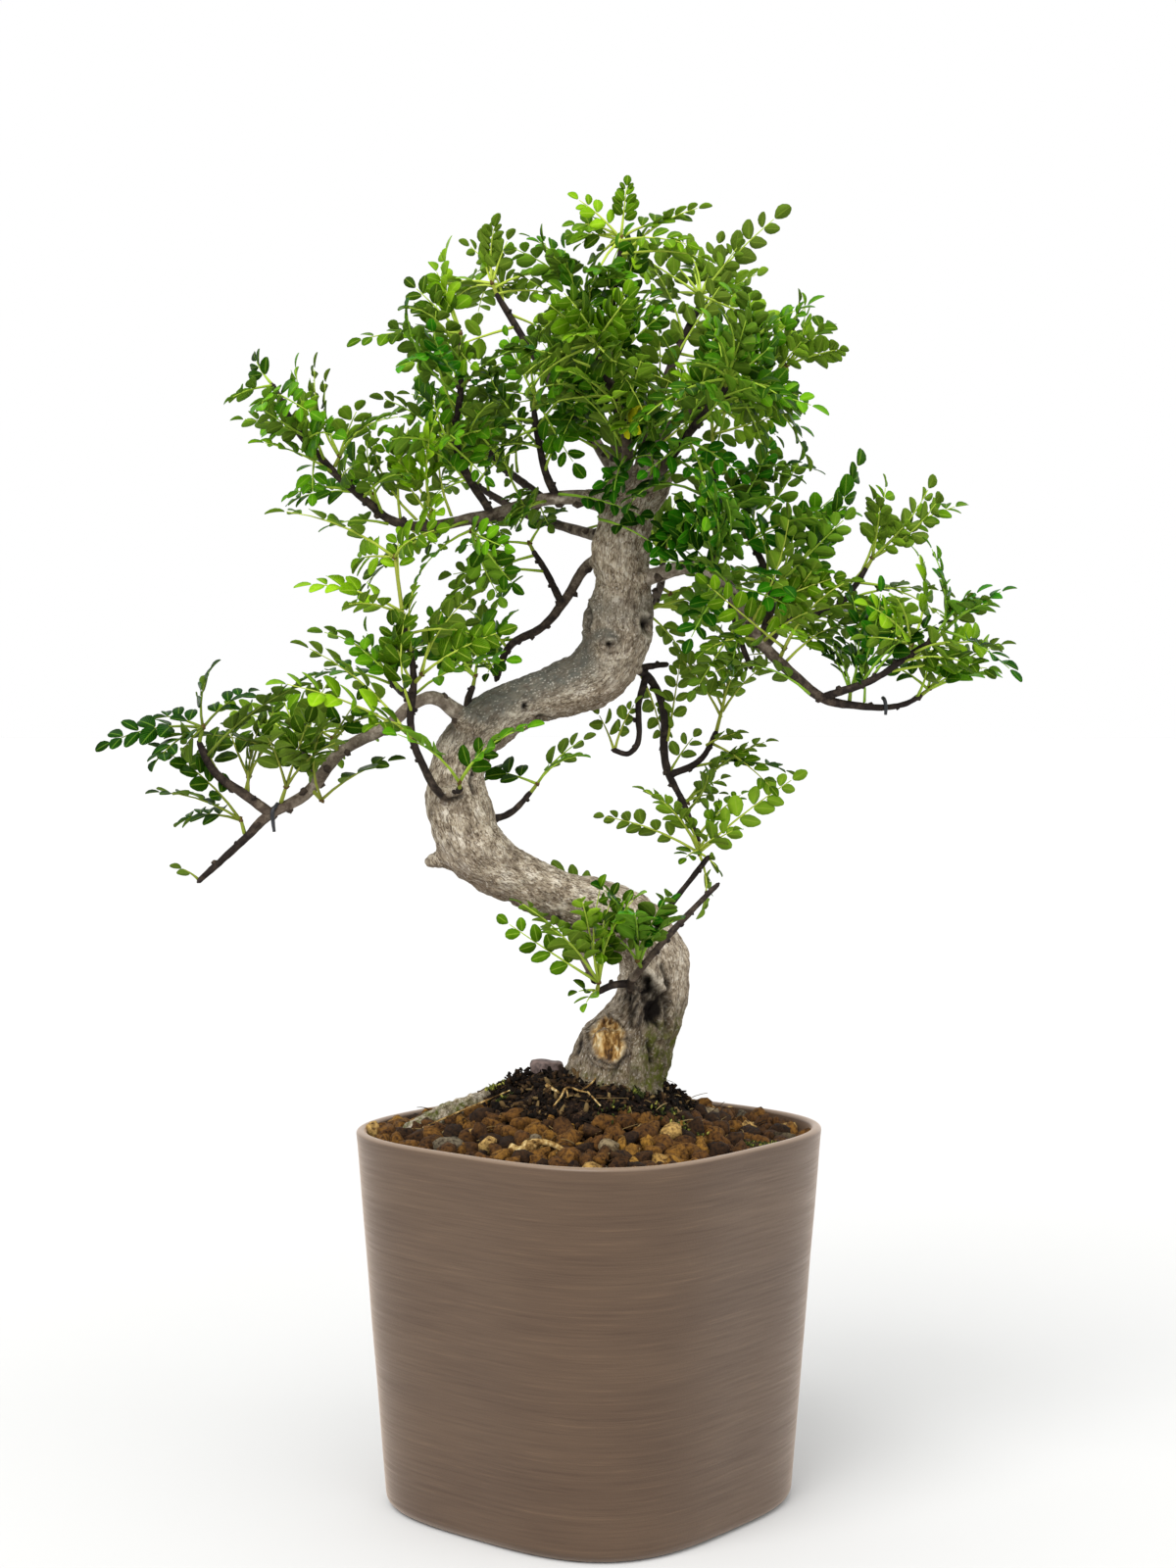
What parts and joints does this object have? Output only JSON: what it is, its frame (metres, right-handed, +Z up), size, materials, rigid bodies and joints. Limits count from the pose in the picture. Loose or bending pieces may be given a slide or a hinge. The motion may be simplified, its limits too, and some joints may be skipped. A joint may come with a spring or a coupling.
{
  "type": "pepper tree bonsai in a pot",
  "caption": "Potted bonsai with an S-curved trunk, fine twigs and pinnate green leaves, in a tall tapering rounded-square pot with soil and clay grains.",
  "frame": {"origin": "centre of the pot's underside, on the surface that it stands on", "axes": "+Z up; +Y away from the tree's front; +X to the right as the front is seen"},
  "size_m": [0.4073, 0.2349, 0.6059],
  "materials": {
    "pot": "matte",
    "soil": "matte",
    "gravel": "matte",
    "flat_stone": "matte",
    "bark": "matte",
    "leaf_lime": "satin",
    "leaf_olive": "satin",
    "leaf_mid": "satin",
    "leaf_deep": "satin"
  },
  "bodies": {
    "root": {"pot": "pot", "soil": "soil", "gravel": "gravel", "flat_stone": "flat_stone", "trunk_and_branches": "bark", "spray_lower_left_tip": "leaf_deep", "spray_lower_left_stub": "leaf_mid", "spray_lower_left_heart": "leaf_olive", "spray_lower_left_knee": "leaf_olive", "spray_lower_left_mid": "leaf_mid", "spray_lower_left_low": "leaf_olive", "spray_left_shoot_low": "leaf_lime", "spray_left_shoot_mid": "leaf_lime", "spray_left_shoot_top": "leaf_lime", "spray_left_trunk_twig": "leaf_mid", "spray_left_trunk_front": "leaf_mid", "spray_inner_twig": "leaf_mid", "spray_back_left_tip": "leaf_mid", "spray_back_left_side": "leaf_mid", "spray_upper_left_reach": "leaf_mid", "spray_upper_left_bend": "leaf_olive", "spray_upper_left_knee": "leaf_mid", "spray_upper_left_bud": "leaf_lime", "spray_upper_left_under": "leaf_mid", "spray_upper_mid_low": "leaf_mid", "spray_upper_mid_top": "leaf_olive", "spray_upper_mid_front": "leaf_deep", "spray_upper_inner": "leaf_mid", "spray_upper_back_left": "leaf_mid", "spray_crown_tip": "leaf_lime", "spray_crown_left_top": "leaf_mid", "spray_crown_front_top": "leaf_mid", "spray_crown_right_top": "leaf_olive", "spray_crown_left_tip": "leaf_lime", "spray_crown_right_end": "leaf_olive", "spray_crown_right_mid": "leaf_mid", "spray_crown_right_low": "leaf_mid", "spray_crown_front_left": "leaf_olive", "spray_crown_front_right": "leaf_mid", "spray_right_shoot_top": "leaf_lime", "spray_right_shoot_side": "leaf_deep", "spray_right_front": "leaf_deep", "spray_right_high": "leaf_mid", "spray_right_high_far": "leaf_mid", "spray_right_bud": "leaf_lime", "spray_right_back": "leaf_olive", "spray_right_end_top": "leaf_deep", "spray_right_end_upright": "leaf_olive", "spray_right_end_low": "leaf_mid", "spray_right_low_mid": "leaf_deep", "spray_hanging_top": "leaf_lime", "spray_hanging_end": "leaf_lime", "spray_hanging_side": "leaf_mid", "spray_foot_front": "leaf_olive", "spray_foot_right": "leaf_deep", "spray_rear_right": "leaf_mid", "spray_rear_right_side": "leaf_olive", "spray_rear_upper": "leaf_mid", "spray_rear_left": "leaf_mid", "spray_rear_lower_left": "leaf_olive"}
  },
  "joints": []
}
